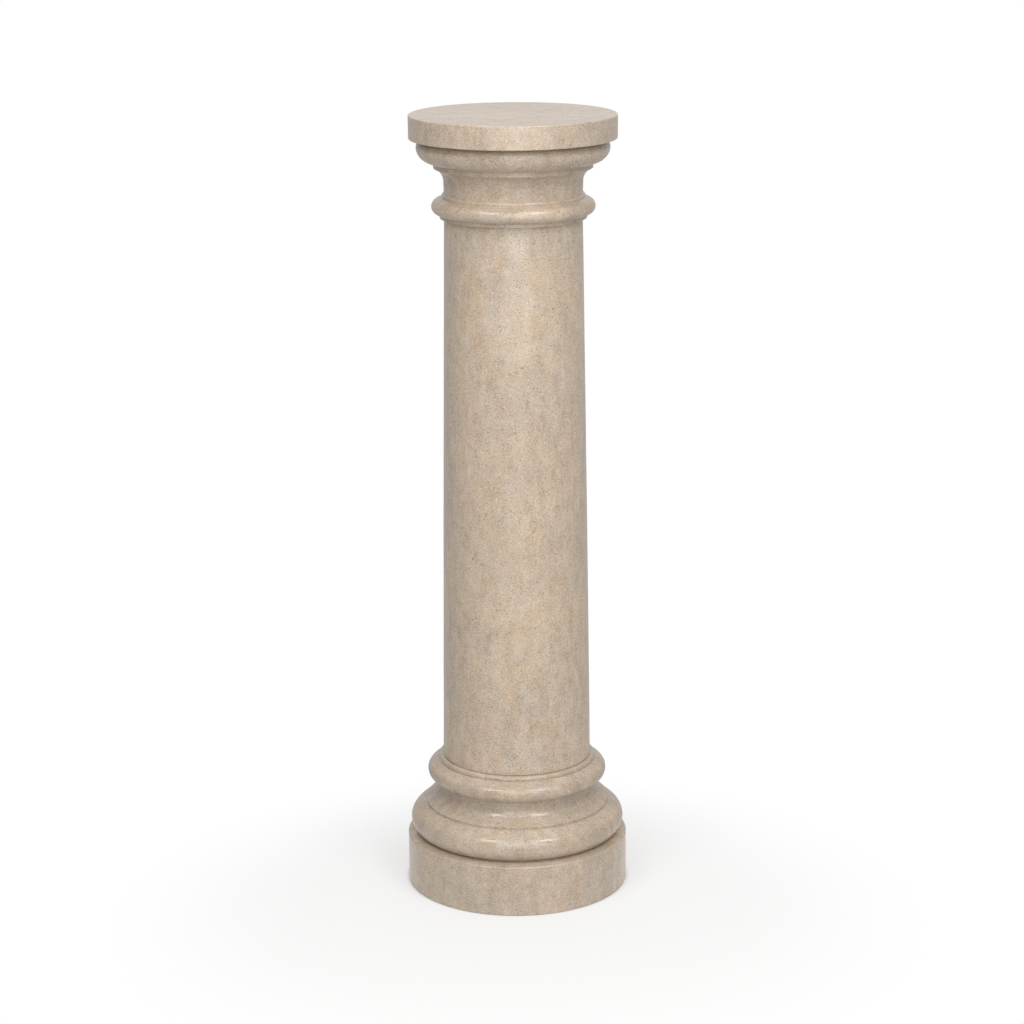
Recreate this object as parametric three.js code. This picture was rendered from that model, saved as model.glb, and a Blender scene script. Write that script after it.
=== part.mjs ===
// A turned limestone column: a base, a plain shaft and a capital, each one stone.
// Millimetres, +Z up, with the origin in the middle of the foot. Every stone is a
// closed profile turned about the Z axis, and each stands on the one below it.
// A moulding's projection is how far it stands out past the end of the shaft beside it.

import * as THREE from 'three';

// The turning: facets round the axis, and the bed joint between two stones
const facets = 56;
const bedJoint = 0.3;

// Shaft: tapers upwards, and swells slightly between its ends
const shaftLength = 700.3;
const shaftFootRadius = 95.3;
const shaftHeadRadius = 86.2;
const shaftSwelling = 0.4;

// Plinth: the round drum that the column stands on. Its top falls gently outwards, to shed water.
const plinthProjection = 47.2;
const plinthHeight = 65.7;
const plinthArris = 2.2;
const plinthFall = 11;
const footChamfer = 0.8;

// Lower torus. Its nose is round, and a flatter shoulder runs up to a level ledge.
const lowerTorusProjection = 42.85;
const lowerTorusNose = 18.15;
const lowerTorusClearance = 1.05;
const lowerTorusUndercut = 66;
const lowerTorusTilt = 50;
const lowerTorusHeight = 41.9;
const lowerTorusLedge = 2.7;

// Scotia: a hollow between two fillets, turned with two arcs that meet at its tilt
const lowerFilletProjection = 23.5;
const lowerFilletHeight = 3.1;
const scotiaProjection = 6.3;
const scotiaThroatHeight = 19.3;
const scotiaArc = 13.3;
const scotiaTilt = 47;
const scotiaHeight = 22.9;
const upperFilletProjection = 8.2;
const upperFilletHeight = 6.1;

// Upper torus, with the same kind of nose and shoulder as the lower one
const upperTorusProjection = 20.2;
const upperTorusNose = 10.5;
const upperTorusBelow = 11.6;
const upperTorusAbove = 10;
const upperTorusTilt = 61;

// Base bead: the thin half round that the shaft stands on
const baseBeadProjection = 6.1;
const baseBeadRound = 4.2;
const baseBeadUndercut = 25;
const baseBeadAbove = 16.2;

// Astragal: a half round over the fillet that rests on the shaft
const capitalFilletProjection = 5.5;
const capitalFilletHeight = 4.9;
const astragalProjection = 15.8;
const astragalNose = 9.3;
const astragalTilt = 63;

// Neck: a plain band in line with the shaft, between a small bead and the cove under the echinus
const neckBeadRound = 3.1;
const neckBeadUndercut = 30;
const neckBeadAbove = 13.1;
const neckProjection = 0.5;
const neckHeight = 14.6;
const coveArc = 18.4;
const coveHeight = 17.2;

// Echinus: a quarter round on a fillet of its own, rolled in above. What is left of its height over the
// roll is a narrow groove, the quirk.
const echinusFilletProjection = 12.9;
const echinusFilletHeight = 6.5;
const echinusHeight = 29.7;
const echinusProjection = 34;
const echinusDepth = 20.9;
const echinusRise = 18.7;
const echinusNose = 9.8;
const echinusNoseTilt = 64;

// Abacus: the round slab on top
const abacusProjection = 43.15;
const abacusHeight = 29;
const abacusArris = 1.4;
const abacusLowerArris = 0.5;

// How many straight steps each kind of curve is cut into
const steps = { nose: 10, astragal: 8, quarter: 6, small: 4, bead: 4, sweep: 3, arris: 2, shaft: 4 };

// Levels: the base's from its foot, the capital's from its own bed
const lowerFilletBed = plinthHeight + lowerTorusHeight;
const scotiaBed = lowerFilletBed + lowerFilletHeight;
const upperFilletBed = scotiaBed + scotiaHeight;
const upperTorusBed = upperFilletBed + upperFilletHeight;
const baseBeadCentre = upperTorusBed + upperTorusBelow + baseBeadAbove;
const baseHeight = baseBeadCentre + baseBeadRound;
const neckBeadCentre = capitalFilletHeight + astragalNose + neckBeadAbove;
const coveBed = neckBeadCentre + neckBeadRound + neckHeight;
const echinusFilletBed = coveBed + coveHeight;
const echinusBed = echinusFilletBed + echinusFilletHeight;
const echinusCrown = echinusBed + echinusRise;
const abacusBed = echinusBed + echinusHeight;

// The end of the shaft that each stone's projections are measured from
const baseRadius = (projection) => shaftFootRadius + projection;
const capitalRadius = (projection) => shaftHeadRadius + projection;

const radians = THREE.MathUtils.degToRad;
const degrees = THREE.MathUtils.radToDeg;
const point = (radius, height) => new THREE.Vector2(radius, height);

// Points along a rounded arc, from one upward tilt of its outward normal to another, in degrees
function bulge(centre, across, high, fromTilt, toTilt, count) {
  const turnAt = (tilt) => Math.atan2(high * Math.sin(radians(tilt)), across * Math.cos(radians(tilt)));
  const from = turnAt(fromTilt);
  const to = turnAt(toTilt);
  return Array.from({ length: count + 1 }, (_, step) => {
    const turn = from + (to - from) * step / count;
    return point(centre.x + across * Math.cos(turn), centre.y + high * Math.sin(turn));
  });
}

// Points along a hollow arc: the far side of the same circle, where the normal points at the centre
function hollow(centre, radius, fromTilt, toTilt, count) {
  const far = (near) => centre.clone().multiplyScalar(2).sub(near);
  return bulge(centre, radius, radius, fromTilt, toTilt, count).map(far);
}

// Points after start, along the arc that sets off at a heading in degrees and runs to end
function arcTo(start, heading, end, count) {
  const chord = end.clone().sub(start);
  const bend = chord.angle() - radians(heading);
  return Array.from({ length: count }, (_, step) => {
    const part = (step + 1) / count;
    const reach = Math.abs(bend) < 1e-6 ? part : Math.sin(bend * part) / Math.sin(bend);
    const angle = radians(heading) + bend * part;
    return point(Math.cos(angle), Math.sin(angle)).multiplyScalar(chord.length() * reach).add(start);
  });
}

// Plinth, from the middle of its foot to its top
function plinthProfile() {
  const radius = baseRadius(plinthProjection);
  const arris = point(radius - plinthArris, plinthHeight - plinthArris);
  return [
    point(0, 0),
    point(radius - footChamfer, 0),
    point(radius, footChamfer),
    ...bulge(arris, plinthArris, plinthArris, 0, 90 - plinthFall, steps.arris),
  ];
}

// Lower torus, from the top of the plinth to the level ledge inside its shoulder
function lowerTorusProfile() {
  const reach = baseRadius(lowerTorusProjection) - lowerTorusNose;
  const centre = point(reach, plinthHeight + lowerTorusClearance + lowerTorusNose);
  return [
    ...bulge(centre, lowerTorusNose, lowerTorusNose, -lowerTorusUndercut, lowerTorusTilt, steps.nose),
    point(baseRadius(lowerFilletProjection) + lowerTorusLedge, lowerFilletBed),
  ];
}

// Lower fillet, scotia and upper fillet
function scotiaProfile() {
  const lip = point(baseRadius(lowerFilletProjection), scotiaBed);
  const centre = point(baseRadius(scotiaProjection) + scotiaArc, scotiaBed + scotiaThroatHeight);
  const headTilt = -degrees(Math.asin((scotiaHeight - scotiaThroatHeight) / scotiaArc));
  const throat = hollow(centre, scotiaArc, scotiaTilt, headTilt, steps.small);
  const sweep = arcTo(throat[0], scotiaTilt + 270, lip, steps.sweep).reverse();
  return [
    point(lip.x, lowerFilletBed),
    ...sweep,
    ...throat,
    point(baseRadius(upperFilletProjection), upperFilletBed),
    point(baseRadius(upperFilletProjection), upperTorusBed),
  ];
}

// Upper torus, up to where its flat shoulder begins
function upperTorusProfile() {
  const centre = point(baseRadius(upperTorusProjection) - upperTorusNose, upperTorusBed + upperTorusBelow);
  return [
    ...bulge(centre, upperTorusNose, upperTorusBelow, -90, 0, steps.small),
    ...bulge(centre, upperTorusNose, upperTorusAbove, 0, upperTorusTilt, steps.sweep).slice(1),
  ];
}

// A small half round that springs from the shoulder below it and ends level
function beadProfile(radius, centreHeight, round, undercut) {
  return bulge(point(radius - round, centreHeight), round, round, -undercut, 90, steps.bead);
}

function baseProfile() {
  return [
    ...plinthProfile(),
    ...lowerTorusProfile(),
    ...scotiaProfile(),
    ...upperTorusProfile(),
    ...beadProfile(baseRadius(baseBeadProjection), baseBeadCentre, baseBeadRound, baseBeadUndercut),
    point(0, baseHeight),
  ];
}

function shaftProfile() {
  const side = Array.from({ length: steps.shaft + 1 }, (_, step) => {
    const up = step / steps.shaft;
    const taper = shaftFootRadius + (shaftHeadRadius - shaftFootRadius) * up;
    return point(taper + 4 * shaftSwelling * up * (1 - up), shaftLength * up);
  });
  return [point(0, 0), ...side, point(0, shaftLength)];
}

// The capital's fillet and astragal, up to where the astragal's flat shoulder begins
function astragalProfile() {
  const fillet = capitalRadius(capitalFilletProjection);
  const centre = point(capitalRadius(astragalProjection) - astragalNose, capitalFilletHeight + astragalNose);
  return [
    point(0, 0),
    point(fillet, 0),
    point(fillet, capitalFilletHeight),
    ...bulge(centre, astragalNose, astragalNose, -90, astragalTilt, steps.astragal),
  ];
}

// Bead, neck and cove
function neckProfile() {
  const bead = capitalRadius(neckBeadRound);
  const centre = point(capitalRadius(neckProjection + coveArc), coveBed);
  const headTilt = -degrees(Math.asin(coveHeight / coveArc));
  return [
    ...beadProfile(bead, neckBeadCentre, neckBeadRound, neckBeadUndercut),
    ...hollow(centre, coveArc, 0, headTilt, steps.small),
  ];
}

// Fillet, quarter round, nose and quirk
function echinusProfile() {
  const fillet = capitalRadius(echinusFilletProjection);
  const radius = capitalRadius(echinusProjection);
  const centre = point(radius - echinusNose, echinusCrown);
  const nose = bulge(centre, echinusNose, echinusNose, 0, echinusNoseTilt, steps.small);
  return [
    point(fillet, echinusFilletBed),
    point(fillet, echinusBed),
    ...bulge(point(radius - echinusDepth, echinusCrown), echinusDepth, echinusRise, -90, 0, steps.quarter),
    ...nose.slice(1),
    point(nose[nose.length - 1].x, abacusBed),
  ];
}

function abacusProfile() {
  const radius = capitalRadius(abacusProjection);
  const top = abacusBed + abacusHeight;
  return [
    point(radius - abacusLowerArris, abacusBed),
    point(radius, abacusBed + abacusLowerArris),
    ...bulge(point(radius - abacusArris, top - abacusArris), abacusArris, abacusArris, 0, 90, steps.arris),
    point(0, top),
  ];
}

function capitalProfile() {
  return [...astragalProfile(), ...neckProfile(), ...echinusProfile(), ...abacusProfile()];
}

// One stone: a profile turned about +Z, standing on its bed
function stone(name, profile, bed, color) {
  const geometry = new THREE.LatheGeometry(profile, facets);
  geometry.rotateX(Math.PI / 2);
  const material = new THREE.MeshStandardMaterial({ color, roughness: 0.45, metalness: 0 });
  const mesh = new THREE.Mesh(geometry, material);
  mesh.name = name;
  mesh.position.z = bed;
  return mesh;
}

const shaftBed = baseHeight + bedJoint;
const capitalBed = shaftBed + shaftLength + bedJoint;

const column = new THREE.Group();
column.add(stone('base', baseProfile(), 0, 0xbfae98));
column.add(stone('shaft', shaftProfile(), shaftBed, 0xc3b29f));
column.add(stone('capital', capitalProfile(), capitalBed, 0xc8b7a3));

export default column;
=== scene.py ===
# %% [markdown]
# # A turned limestone column
#
# The column is three stones stacked on one axis: a base, a plain shaft and a capital.
# Each was sawn to a block, turned in a stone lathe against a profile, smoothed with finer
# and finer abrasives and left half polished. The solids from the part source give the true outline
# of each stone in facets. This script reads that outline, turns it smooth, eases its edges the way
# polishing does, and gives every stone a limestone finish. It ends with a plain studio.

# %% Load the solids
import math

import bmesh
import bpy
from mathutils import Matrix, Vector, noise


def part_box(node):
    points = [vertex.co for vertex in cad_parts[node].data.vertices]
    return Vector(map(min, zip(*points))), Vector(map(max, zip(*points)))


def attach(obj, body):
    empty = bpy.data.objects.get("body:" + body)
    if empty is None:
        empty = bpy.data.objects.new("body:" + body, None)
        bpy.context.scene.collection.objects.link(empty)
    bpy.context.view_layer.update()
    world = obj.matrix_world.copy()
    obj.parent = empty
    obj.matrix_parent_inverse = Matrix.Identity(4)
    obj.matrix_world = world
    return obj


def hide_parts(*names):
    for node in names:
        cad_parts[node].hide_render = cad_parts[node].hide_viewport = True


MM = 0.001
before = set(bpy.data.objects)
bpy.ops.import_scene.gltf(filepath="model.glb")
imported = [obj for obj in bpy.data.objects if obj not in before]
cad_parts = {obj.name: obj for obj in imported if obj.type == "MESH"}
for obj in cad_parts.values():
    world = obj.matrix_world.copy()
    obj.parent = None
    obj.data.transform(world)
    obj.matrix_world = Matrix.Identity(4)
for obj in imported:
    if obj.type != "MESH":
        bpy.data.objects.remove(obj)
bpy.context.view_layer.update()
column_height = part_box("capital")[1].z
print("solids:", sorted(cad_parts), "height", round(column_height, 4))

# %% [markdown]
# ## Reading a stone's outline
#
# A turned solid repeats one outline all the way round. Its corners in front, at x = 0 and y < 0,
# are that outline, so walking along the edges there from the foot to the top gives it in order:
# pairs of radius and height. Nothing about the shape is typed in twice, and a stone that is
# changed in the part source changes here too.

# %% Walk up the front of a solid
ON_AXIS = 1e-5


def outline_of(node):
    """The outline of a solid from its foot to its top, as pairs of radius and height."""
    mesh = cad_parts[node].data
    front = {}
    for vertex in mesh.vertices:
        if abs(vertex.co.x) < ON_AXIS and vertex.co.y < ON_AXIS:
            front[vertex.index] = (round(-vertex.co.y, 6), round(vertex.co.z, 6))
    beside = {}
    for edge in mesh.edges:
        ends = [front.get(index) for index in edge.vertices]
        if None in ends or ends[0] == ends[1]:
            continue
        beside.setdefault(ends[0], set()).add(ends[1])
        beside.setdefault(ends[1], set()).add(ends[0])
    on_axis = sorted((p for p in beside if p[0] < ON_AXIS), key=lambda p: p[1])
    path = [on_axis[0]]
    while path[-1] != on_axis[-1]:
        onward = [p for p in beside[path[-1]] if p not in path]
        path.append(onward[0])
    return [Vector(p) for p in path]


# %% [markdown]
# ## From facets back to curves
#
# A turner's template is made of flats and true arcs that meet in sharp corners. In the solid
# each arc is a few straight chords. A turn sharper than CORNER between two chords is a real
# corner of the moulding. A chord much longer than the ones beside it is a flat and stays
# straight. Every other chord gets its arc back: by the inscribed-angle rule, a circle through
# three neighbouring points bends over one chord by the angle seen from the third point.

# %% Give the chords their arcs back
CORNER = math.radians(50)
FLAT = 1.8
LONGEST_STEP = 12 * MM


def turn(a, b, c):
    """The signed turn from the direction a-b to the direction b-c, positive to the left."""
    return -(b - a).angle_signed(c - b, 0.0)


def bend_seen_from(corner, a, b):
    """The signed angle between a and b as a point beside them sees it."""
    return -(a - corner).angle_signed(b - corner, 0.0)


def curved(a, b, bend_in, bend_out, count):
    """Points after a up to b, on an arc whose bend goes from one value to the other."""
    chord = b - a
    found = []
    for step in range(1, count + 1):
        part = step / count
        bend = bend_in + (bend_out - bend_in) * part
        reach = math.sin(bend * part) / math.sin(bend) if abs(bend) > 1e-6 else part
        angle = math.atan2(chord.y, chord.x) - bend * (1 - part)
        found.append(a + Vector((math.cos(angle), math.sin(angle))) * chord.length * reach)
    return found


def smooth_run(points):
    """The same stretch of outline between two corners, with its arcs restored."""
    lengths = [(b - a).length for a, b in zip(points, points[1:])]
    flat = []
    for index, length in enumerate(lengths):
        beside = lengths[max(index - 1, 0):index] + lengths[index + 1:index + 2]
        flat.append(not beside or length > FLAT * max(beside))
    found = [points[0]]
    for index, length in enumerate(lengths):
        a, b = points[index], points[index + 1]
        bends = []
        if index > 0 and not flat[index - 1]:
            bends.append(bend_seen_from(points[index - 1], a, b))
        if index + 1 < len(lengths) and not flat[index + 1]:
            bends.append(bend_seen_from(points[index + 2], a, b))
        if flat[index] or not bends:
            found.append(b)
        else:
            count = max(4, math.ceil(length / LONGEST_STEP))
            found += curved(a, b, bends[0], bends[-1], count)
    return found


# %% [markdown]
# ## Easing the corners
#
# Rubbing a stone down through the grits always takes the last half millimetre off a sharp
# corner, and leaves a little stone in an inside one. That tiny round is what catches the light as a
# thin bright line. Long flats also get a ring of points close to each end, so that the
# shading of the rounded corner doesn't spill over the flat.

# %% Ease the corners and divide the flats
OUTSIDE_EASE = 0.5 * MM
INSIDE_EASE = 0.3 * MM
GUARD = 0.4 * MM
LONGEST_LEVEL_STEP = 60 * MM


def eased(before, corner, after):
    """A small round in place of a corner point, or the point itself where there is no corner."""
    angle = turn(before, corner, after)
    if abs(angle) < CORNER:
        return [corner]
    ease = OUTSIDE_EASE if angle > 0 else INSIDE_EASE
    start = corner + (before - corner) * min(0.4, ease / (before - corner).length)
    end = corner + (after - corner) * min(0.4, ease / (after - corner).length)
    return [start.lerp(corner, t).lerp(corner.lerp(end, t), t) for t in (0, 0.25, 0.5, 0.75, 1)]


def divided(a, b):
    """Points after a up to b, close to both ends and evenly between them."""
    length = (b - a).length
    if length < 3 * GUARD:
        return [b]
    level = abs(b.y - a.y) < 1e-6
    count = max(1, math.ceil(length / (LONGEST_LEVEL_STEP if level else LONGEST_STEP)))
    parts = [GUARD / length] + [step / count for step in range(1, count)] + [1 - GUARD / length, 1]
    return [a.lerp(b, part) for part in parts]


def turned_outline(node):
    """A solid's outline with its arcs restored, its corners eased and its flats divided."""
    points = outline_of(node)
    corners = [i for i in range(1, len(points) - 1) if abs(turn(*points[i - 1:i + 2])) > CORNER]
    ends = [0, *corners, len(points) - 1]
    smooth = [points[0]]
    for start, end in zip(ends, ends[1:]):
        smooth += smooth_run(points[start:end + 1])[1:]
    round_off = [smooth[0]]
    for before, here, after in zip(smooth, smooth[1:], smooth[2:]):
        round_off += eased(before, here, after)
    round_off.append(smooth[-1])
    outline = [round_off[0]]
    for a, b in zip(round_off, round_off[1:]):
        outline += divided(a, b)
    return outline


# %% [markdown]
# ## Turning the stones
#
# A stone is its outline carried round the axis in many narrow steps. A lathe leaves a true round,
# but rubbing down by hand leaves it wavy by a tenth of a millimetre or two. That waviness is
# what makes a polished reflection wander, so each ring is moved in or out by a smooth noise
# that depends only on where the point is.

# %% Turn an outline into a closed mesh
SIDES = 288
WAVE = 0.16 * MM
BROAD_WAVES_PER_METRE = 14
FINE_WAVES_PER_METRE = 45
FULL_WAVE_RADIUS = 50 * MM
LIMESTONE_DENSITY = 2700


def waviness(place):
    """How far hand rubbing has moved the surface outwards here. It fades out towards the axis."""
    broad = noise.noise(place * BROAD_WAVES_PER_METRE + Vector((3.1, 8.7, 1.9)))
    fine = noise.noise(place * FINE_WAVES_PER_METRE + Vector((7.3, 2.2, 5.1)))
    return WAVE * (broad + 0.4 * fine) * min(1, place.xy.length / FULL_WAVE_RADIUS)


def turned_stone(name, node, material):
    """A closed stone in place of a solid of the frame."""
    outline = turned_outline(node)
    mesh = bmesh.new()
    rings = []
    for point in outline[1:-1]:
        ring = []
        for step in range(SIDES):
            angle = 2 * math.pi * step / SIDES
            out = Vector((math.cos(angle), math.sin(angle), 0))
            place = out * point.x + Vector((0, 0, point.y))
            ring.append(mesh.verts.new(place + out * waviness(place)))
        rings.append(ring)
    foot = mesh.verts.new((0, 0, outline[0].y))
    head = mesh.verts.new((0, 0, outline[-1].y))
    for step in range(SIDES):
        onward = (step + 1) % SIDES
        mesh.faces.new((foot, rings[0][onward], rings[0][step]))
        mesh.faces.new((head, rings[-1][step], rings[-1][onward]))
        for low, high in zip(rings, rings[1:]):
            mesh.faces.new((low[step], low[onward], high[onward], high[step]))
    for face in mesh.faces:
        face.smooth = True
    mass = mesh.calc_volume(signed=True) * LIMESTONE_DENSITY
    triangles = sum(len(face.verts) - 2 for face in mesh.faces)
    data = bpy.data.meshes.new(name)
    mesh.to_mesh(data)
    mesh.free()
    data.materials.append(material)
    stone = bpy.data.objects.new(name, data)
    bpy.context.scene.collection.objects.link(stone)
    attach(stone, "root")
    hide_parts(node)
    print(name, len(outline), "outline points,", triangles, "triangles,", round(mass, 2), "kg")
    return stone


# %% [markdown]
# ## Writing shader sums as sums
#
# A stone's finish is worked out by many small nodes. Field stands for one node's output and turns
# +, -, * and / into the nodes that work them out, so that a recipe reads like the sum it is.

# %% One wrapper for shader sockets
class Field:
    """The output of a shader node, ready for sums and for feeding further nodes."""

    def __init__(self, tree, socket):
        self.tree = tree
        self.socket = socket

    def node(self, kind, settings, inputs, output=0):
        """Any node: its settings first, then values or fields for its inputs."""
        made = self.tree.nodes.new(kind)
        for setting, value in settings.items():
            setattr(made, setting, value)
        for key, value in inputs.items():
            if isinstance(value, Field):
                self.tree.links.new(value.socket, made.inputs[key])
            else:
                made.inputs[key].default_value = value
        return Field(self.tree, made.outputs[output]) if made.outputs else made

    def maths(self, operation, a, b):
        return self.node("ShaderNodeMath", {"operation": operation}, {0: a, 1: b})

    def __add__(self, other):
        return self.maths("ADD", self, other)

    def __radd__(self, other):
        return self.maths("ADD", other, self)

    def __sub__(self, other):
        return self.maths("SUBTRACT", self, other)

    def __rsub__(self, other):
        return self.maths("SUBTRACT", other, self)

    def __mul__(self, other):
        return self.maths("MULTIPLY", self, other)

    def __rmul__(self, other):
        return self.maths("MULTIPLY", other, self)

    def __truediv__(self, other):
        return self.maths("DIVIDE", self, other)

    def __rtruediv__(self, other):
        return self.maths("DIVIDE", other, self)

    def __pow__(self, power):
        return self.maths("POWER", self, power)

    def between(self, low, high):
        """0 below low, 1 above high, and a smooth rise from one to the other."""
        settings = {"interpolation_type": "SMOOTHSTEP"}
        return self.node("ShaderNodeMapRange", settings, {"Value": self, "From Min": low, "From Max": high})

    def blend(self, first, second):
        """The first colour where this field is 0, the second where it is 1."""
        return self.node("ShaderNodeMix", {"data_type": "RGBA"}, {0: self, 6: first, 7: second}, 2)

    def stretched(self, x, y, z):
        return self.node("ShaderNodeVectorMath", {"operation": "MULTIPLY"}, {0: self, 1: (x, y, z)})

    def moved(self, x, y, z):
        return self.node("ShaderNodeVectorMath", {"operation": "ADD"}, {0: self, 1: (x, y, z)})

    def length(self):
        return self.node("ShaderNodeVectorMath", {"operation": "LENGTH"}, {0: self}, "Value")

    def mottle(self, size, detail=1.0):
        """Smooth noise about a size in metres, around 0 and mostly within -0.5 and 0.5."""
        inputs = {"Vector": self, "Scale": 1 / size, "Detail": detail, "Roughness": 0.55}
        return self.node("ShaderNodeTexNoise", {}, inputs) - 0.5


# %% [markdown]
# ## The limestone
#
# Beige limestone is shell sand in lime mud, laid down in beds. Seen close it is a
# fine salt and pepper of pale shell and brown grains one or two millimetres across. Seen from a step
# back it has clouds of honey, pink and grey-white. The blocks were sawn with the beds upright
# and facing the viewer, so the clouds look round in front, draw out to upright streaks
# towards both sides and run across the top. All of it is noise in the stone's own space, stretched
# along the beds. A few open pores are sunk as small dark pits.

# %% Mix a finish for each stone
PORE_SPACING = 22 * MM
PORE_DEPTH = 0.3 * MM


def limestone(name, place_in_block, tone_and_painted_light):
    """Half-polished limestone from one place in the quarry block. The tone sets how pale it is: partly the
    stone's own paleness, partly painted light and shade for how the light falls on that stone.
    """
    material = bpy.data.materials.new(name)
    material.use_nodes = True
    tree = material.node_tree
    tree.nodes.clear()
    where = tree.nodes.new("ShaderNodeTexCoord")
    place = Field(tree, where.outputs["Object"]).moved(*place_in_block)
    beds = place.stretched(0.65, 1.0, 0.5)
    streaks = place.stretched(0.25, 1.0, 0.12)

    cloud = beds.mottle(70 * MM, 2.0)
    patch = beds.moved(5, 1, 2).mottle(11 * MM, 2.0)
    honey = beds.moved(9, 4, 7).mottle(16 * MM, 2.0)
    vein = streaks.mottle(4 * MM, 2.0)
    grain = place.mottle(1.3 * MM, 1.0)
    crowd = place.moved(8, 3, 6).mottle(14 * MM, 1.0)
    brown = (place.moved(2, 6, 3).mottle(2.1 * MM, 1.0) + 0.3 * crowd).between(0.08, 0.26)
    shell = (place.moved(4, 9, 1).mottle(2.8 * MM, 1.0) - 0.3 * crowd).between(0.10, 0.28)

    warmth = (0.5 + 1.6 * honey + 0.8 * cloud).between(0.1, 0.9)
    greyness = (0.4 + 1.5 * patch - 0.6 * vein).between(0.2, 1.0)
    # The tone scales every colour. Part of it is painted light and shade for how the light falls on this
    # stone.
    beige = [channel * tone_and_painted_light for channel in (0.455, 0.372, 0.292)] + [1]
    amber = [channel * tone_and_painted_light for channel in (0.470, 0.363, 0.262)] + [1]
    chalk = [channel * tone_and_painted_light for channel in (0.470, 0.402, 0.336)] + [1]
    colour = (greyness * 0.6).blend(warmth.blend(beige, amber), chalk)

    cells = {"Vector": place, "Scale": 1 / PORE_SPACING, "Randomness": 1.0}
    distance = place.node("ShaderNodeTexVoronoi", {}, cells, "Distance")
    which = place.node("ShaderNodeTexVoronoi", {}, cells, "Color")
    chance = place.node("ShaderNodeSeparateColor", {}, {0: which}, 0)
    pit = (0.075 * chance - distance).between(0.0, 0.02)

    light = 1 + 1.1 * grain - 0.32 * brown + 0.18 * shell + 0.30 * cloud + 0.32 * patch + 0.3 * vein
    shade = light * (1 - 0.45 * pit)
    tinted = place.node("ShaderNodeVectorMath", {"operation": "SCALE"}, {0: colour, 3: shade})

    height = 0.02 * grain - 0.02 * brown - pit
    bump = place.node("ShaderNodeBump", {}, {"Strength": 1.0, "Distance": PORE_DEPTH, "Height": height})
    roughness = 0.23 + 0.1 * patch + 0.1 * grain + 0.3 * pit
    surface = {"Base Color": tinted, "Roughness": roughness, "IOR": 1.5, "Normal": bump}
    stone = place.node("ShaderNodeBsdfPrincipled", {}, surface)
    place.node("ShaderNodeOutputMaterial", {}, {"Surface": stone})
    return material


# %% [markdown]
# ## The three stones
#
# Each stone comes from its own place in the quarry block, so the pattern breaks at the joints. The
# shaft is the palest and the base the darkest. Part of that is painted light and shade: the tones
# darken the base and pale the shaft and capital to match how the light falls from the top to the foot.

# %% Turn the base, the shaft and the capital
# The tones mix each stone's own paleness with painted shade on the base and painted light on the shaft and
# capital.
base_finish = limestone("base_limestone", place_in_block=(0.3, 0.7, 0.1), tone_and_painted_light=0.965)
shaft_finish = limestone("shaft_limestone", place_in_block=(1.9, 0.4, 2.6), tone_and_painted_light=1.08)
capital_finish = limestone("capital_limestone", place_in_block=(3.2, 1.8, 4.3), tone_and_painted_light=1.055)
turned_stone("base_turned", "base", base_finish)
turned_stone("shaft_turned", "shaft", shaft_finish)
turned_stone("capital_turned", "capital", capital_finish)

# %% [markdown]
# ## The studio
#
# A plain pale floor runs out of sight. Two white walls in front, a low one and a high one, give most of
# the light, which is why the stone darkens towards both sides. Two soft boxes high up on the left and
# right draw the pair of small highlights on each round moulding. The room adds a softer glow from
# above, from behind and a little from the right.
#
# The floor is matt paint that is half lit from below, so its shadows stay pale. Only close round the
# foot is it plain paint, which keeps the thin dark line where the stone stands on it. Further off it
# burns out to white, but lights the stone less than it looks to.

# %% Floor, room and soft boxes
FLOOR_HALF_WIDTH = 40
SHADED_AHEAD = 0.15
CONTACT_LINE_FROM = -2 * MM
CONTACT_LINE_TO = 6 * MM


def plain_floor(burns_from, burns_to):
    """A level floor. The distances are from a point a little in front of the column."""
    mesh = bmesh.new()
    bmesh.ops.create_grid(mesh, x_segments=1, y_segments=1, size=FLOOR_HALF_WIDTH)
    data = bpy.data.meshes.new("floor")
    mesh.to_mesh(data)
    mesh.free()
    data.materials.append(floor_paint(burns_from, burns_to))
    floor = bpy.data.objects.new("floor", data)
    bpy.context.scene.collection.objects.link(floor)


def floor_paint(burns_from, burns_to):
    """Half-lit matt paint that burns out to plain white between two distances."""
    material = bpy.data.materials.new("floor_paint")
    material.use_nodes = True
    tree = material.node_tree
    tree.nodes.clear()
    where = tree.nodes.new("ShaderNodeTexCoord")
    place = Field(tree, where.outputs["Object"])
    burnt = place.moved(0, SHADED_AHEAD, 0).length().between(burns_from, burns_to)
    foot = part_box("base")[1].x
    clear = place.length().between(foot + CONTACT_LINE_FROM, foot + CONTACT_LINE_TO)
    paint = place.node("ShaderNodeBsdfDiffuse", {}, {"Color": (0.74, 0.74, 0.735, 1)})
    seen = place.node("ShaderNodeLightPath", {}, {}, "Is Camera Ray")
    white = place.node("ShaderNodeEmission", {}, {"Color": (1, 1, 1, 1), "Strength": 1.0})
    dimmer = place.node("ShaderNodeEmission", {}, {"Color": (1, 1, 1, 1), "Strength": 0.55})
    glow = place.node("ShaderNodeMixShader", {}, {0: burnt * (1 - seen), 1: white, 2: dimmer})
    shown = place.node("ShaderNodeMixShader", {}, {0: clear * (0.5 + 0.5 * burnt), 1: paint, 2: glow})
    place.node("ShaderNodeOutputMaterial", {}, {"Surface": shown})
    return material


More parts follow.
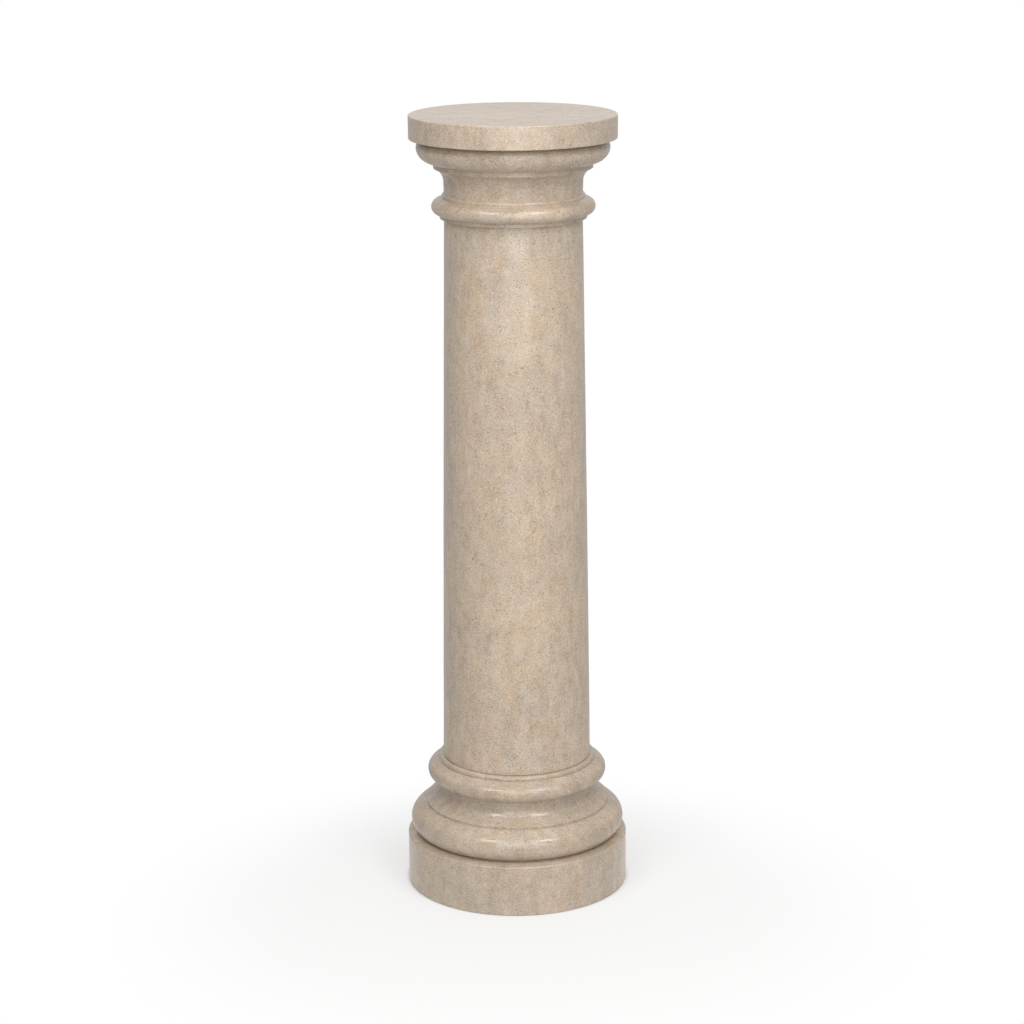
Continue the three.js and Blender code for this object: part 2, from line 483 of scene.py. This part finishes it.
def studio_light(*glows):
    """Light from all round: the sum of glows, each with its direction, strength and narrowness."""
    world = bpy.data.worlds.new("room")
    world.use_nodes = True
    tree = world.node_tree
    tree.nodes.clear()
    where = tree.nodes.new("ShaderNodeTexCoord")
    direction = Field(tree, where.outputs["Generated"])
    total = 0
    for towards, strength, narrowness in glows:
        inputs = {0: direction, 1: Vector(towards).normalized()}
        facing = direction.node("ShaderNodeVectorMath", {"operation": "DOT_PRODUCT"}, inputs, "Value")
        total = strength * facing.maths("MAXIMUM", facing, 0) ** narrowness + total
    sky = direction.node("ShaderNodeBackground", {}, {"Color": (1, 1, 1, 1), "Strength": total})
    direction.node("ShaderNodeOutputWorld", {}, {"Surface": sky})
    bpy.context.scene.world = world


def soft_box(name, azimuth, elevation, distance, size, power):
    """A square light that faces the column. Azimuth is from the front towards the right."""
    light = bpy.data.lights.new(name, "AREA")
    light.shape = "SQUARE"
    light.size = size
    light.energy = power
    box = bpy.data.objects.new(name, light)
    across, up = math.radians(azimuth), math.radians(elevation)
    out = Vector((math.sin(across) * math.cos(up), -math.cos(across) * math.cos(up), math.sin(up)))
    middle = Vector((0, 0, column_height / 2))
    box.location = middle + out * distance
    box.rotation_euler = out.to_track_quat("Z", "Y").to_euler()
    box.visible_camera = False
    bpy.context.scene.collection.objects.link(box)


plain_floor(burns_from=0.25, burns_to=0.55)
overhead = ((0, 0, 1), 1.05, 3)
back = ((0, 1, 0.2), 0.7, 2)
right = ((1, -0.6, 0.5), 0.3, 3)
studio_light(overhead, back, right)
soft_box("white_wall_low", azimuth=4, elevation=18, distance=2.6, size=2.2, power=33)
soft_box("white_wall_high", azimuth=0, elevation=45, distance=2.6, size=2.2, power=17)
soft_box("soft_box_left", azimuth=-42, elevation=52, distance=3.3, size=0.75, power=23)
soft_box("soft_box_right", azimuth=42, elevation=52, distance=3.3, size=0.75, power=24)

# %% [markdown]
# ## The camera
#
# The photo was taken from eye height, three and a half metres away, with a long lens tilted down at the
# column. The figures are the ones that lay the solid's rims over the rims in the photo.

# %% Stand the camera where the photo was taken
def photo_camera(place, lens, down, roll):
    """A camera that faces +Y from a place, tilted down and rolled by angles in degrees."""
    data = bpy.data.cameras.new("photo_camera")
    data.sensor_width = 36
    data.lens = lens
    camera = bpy.data.objects.new("photo_camera", data)
    camera.location = place
    camera.rotation_euler = (math.radians(90 - down), 0, 0)
    camera.rotation_euler.rotate_axis("Z", math.radians(roll))
    bpy.context.scene.collection.objects.link(camera)
    bpy.context.scene.camera = camera


photo_camera(place=(-0.0042, -3.453, 1.4012), lens=98.39, down=14.726, roll=-0.382)
bpy.context.scene.view_settings.view_transform = "Standard"
